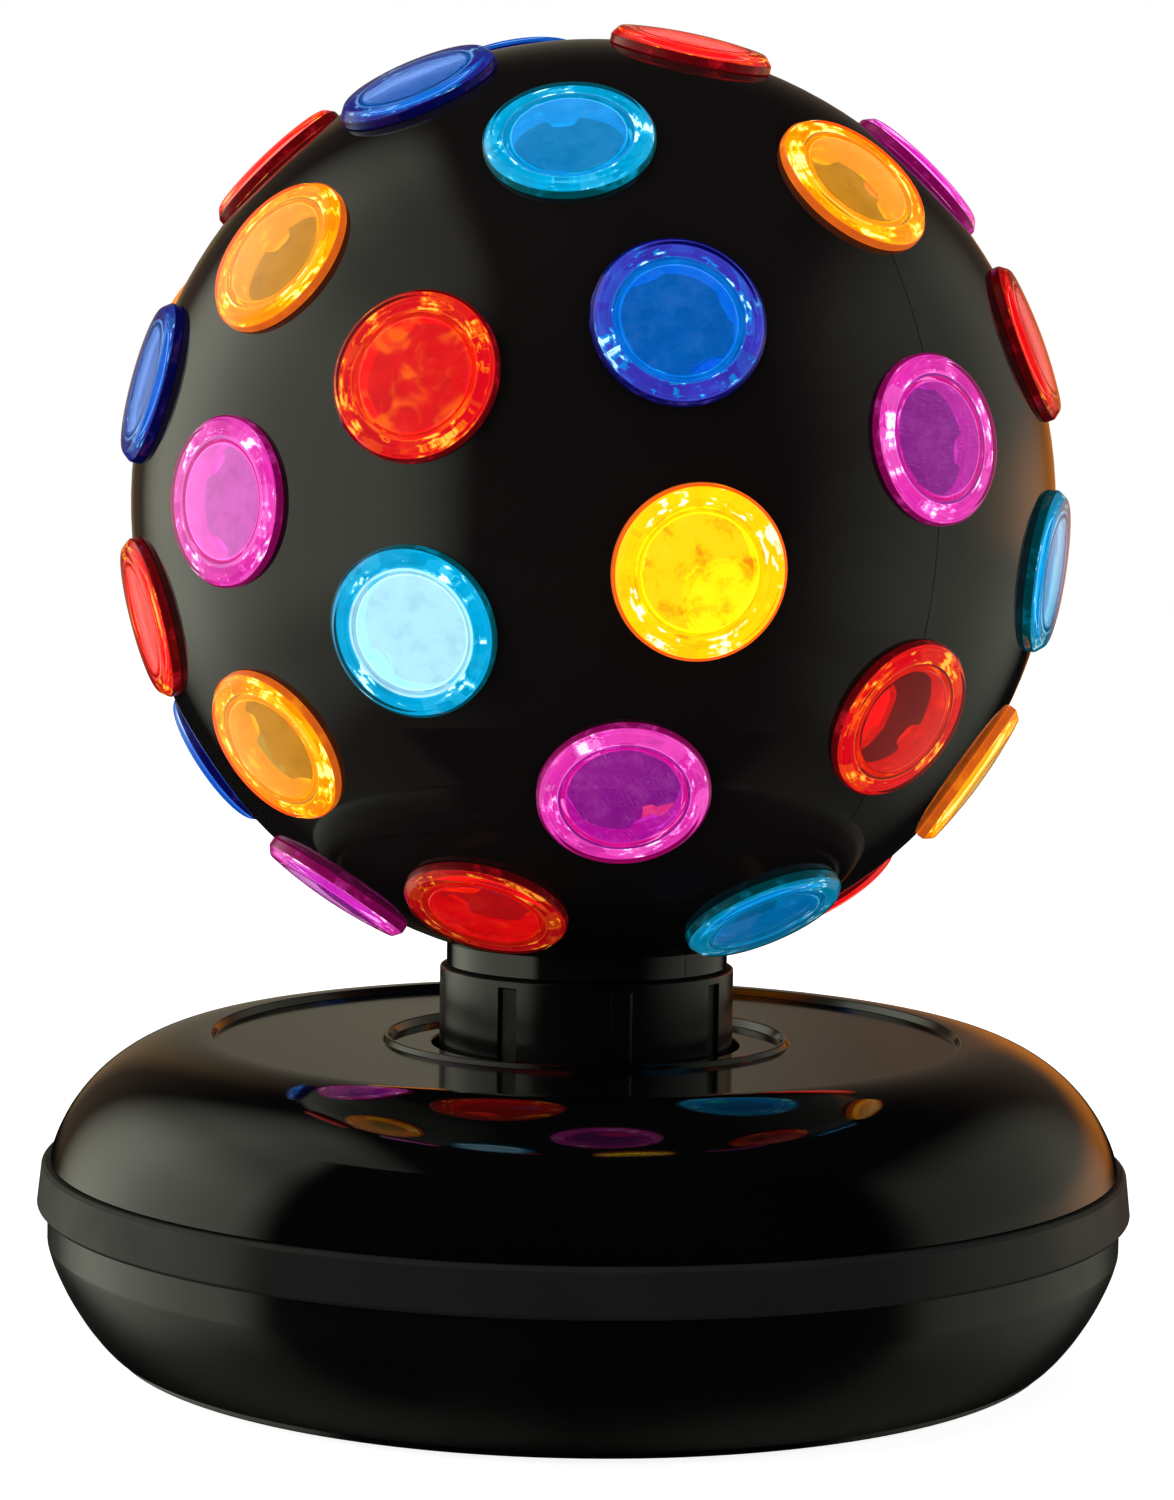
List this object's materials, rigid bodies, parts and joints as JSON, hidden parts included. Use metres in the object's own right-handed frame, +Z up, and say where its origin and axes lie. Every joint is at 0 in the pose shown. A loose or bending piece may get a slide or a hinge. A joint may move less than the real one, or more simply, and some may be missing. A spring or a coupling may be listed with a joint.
{
  "type": "led disco ball light",
  "caption": "Lensed party-light ball turning on a low round base, with gear motor, lamp stem, DC inlet and rocker switch.",
  "frame": {"origin": "on the ball's turning axis, on the surface that the rubber feet stand on", "axes": "+Z up along the ball's turning axis; the lit front faces -Y, and the inlet and switch face +Y"},
  "size_m": [0.1792, 0.1792, 0.2148],
  "materials": {
    "gloss_black": "high gloss moulded ABS",
    "satin_black": "satin moulded ABS",
    "charcoal": "matte charcoal ABS",
    "rubber": "matte rubber",
    "white_plastic": "natural acetal",
    "amber_plastic": "glass-smooth nylon",
    "zinc_steel": "zinc plated",
    "circuit_green": "solder mask on glass-fibre board",
    "lead_grey": "soft PVC",
    "led_resin": "clear resin",
    "lens_red": "clear tinted polystyrene",
    "lens_orange": "clear tinted polystyrene",
    "lens_blue": "clear tinted polystyrene",
    "lens_cyan": "clear tinted polystyrene",
    "lens_magenta": "clear tinted polystyrene"
  },
  "bodies": {
    "base": {"base_upper_shell": "gloss_black", "base_lower_shell": "satin_black", "base_band": "charcoal", "bottom_plate": "gloss_black", "rear_panel": "satin_black", "power_jack": "satin_black", "switch_housing": "satin_black", "gear_motor": "zinc_steel", "motor_screw_1": "zinc_steel", "motor_screw_2": "zinc_steel", "lamp_stem": "white_plastic", "glide_ring": "amber_plastic", "led_board": "circuit_green", "led_emitter": "led_resin", "driver_board": "circuit_green", "led_lead": "lead_grey", "motor_lead": "lead_grey", "rubber_foot_1": "rubber", "plate_screw_1": "zinc_steel", "rubber_foot_2": "rubber", "plate_screw_2": "zinc_steel", "rubber_foot_3": "rubber", "plate_screw_3": "zinc_steel", "rubber_foot_4": "rubber", "plate_screw_4": "zinc_steel"},
    "ball": {"ball_half_front": "gloss_black", "ball_half_back": "gloss_black", "ribbed_collar": "satin_black", "turntable_gear": "white_plastic", "lens_pole": "lens_magenta", "lens_inner_1": "lens_orange", "lens_inner_2": "lens_red", "lens_inner_3": "lens_cyan", "lens_inner_4": "lens_orange", "lens_inner_5": "lens_red", "lens_inner_6": "lens_blue", "lens_outer_1": "lens_blue", "lens_outer_2": "lens_cyan", "lens_outer_3": "lens_blue", "lens_outer_4": "lens_orange", "lens_outer_5": "lens_magenta", "lens_outer_6": "lens_red", "lens_outer_7": "lens_magenta", "lens_outer_8": "lens_blue", "lens_outer_9": "lens_cyan", "lens_outer_10": "lens_orange", "lens_outer_11": "lens_red", "lens_seam_1": "lens_red", "lens_seam_2": "lens_orange", "lens_seam_3": "lens_magenta", "lens_seam_4": "lens_red", "lens_seam_5": "lens_cyan", "lens_seam_6": "lens_orange", "lens_seam_7": "lens_magenta", "lens_seam_8": "lens_cyan", "lens_seam_9": "lens_orange", "lens_seam_10": "lens_blue"},
    "pinion": {"drive_pinion": "white_plastic"},
    "rocker": {"switch_rocker": "satin_black"}
  },
  "joints": [
    {"name": "ball_spin", "type": "hinge", "parent": "base", "child": "ball", "pos_m": [0, 0, 0.138], "axis": [0, 0, 1], "continuous": true},
    {"name": "pinion_spin", "type": "hinge", "parent": "base", "child": "pinion", "pos_m": [-0.033, 0, 0.0408], "axis": [0, 0, 1], "continuous": true},
    {"name": "rocker_tilt", "type": "hinge", "parent": "base", "child": "rocker", "pos_m": [0.006, 0.0806, 0.0155], "axis": [0, 0, 1], "range_deg": [0, 16]}
  ],
  "couplings": [
    {"joint": "pinion_spin", "follows": "ball_spin", "ratio": -4.5}
  ]
}
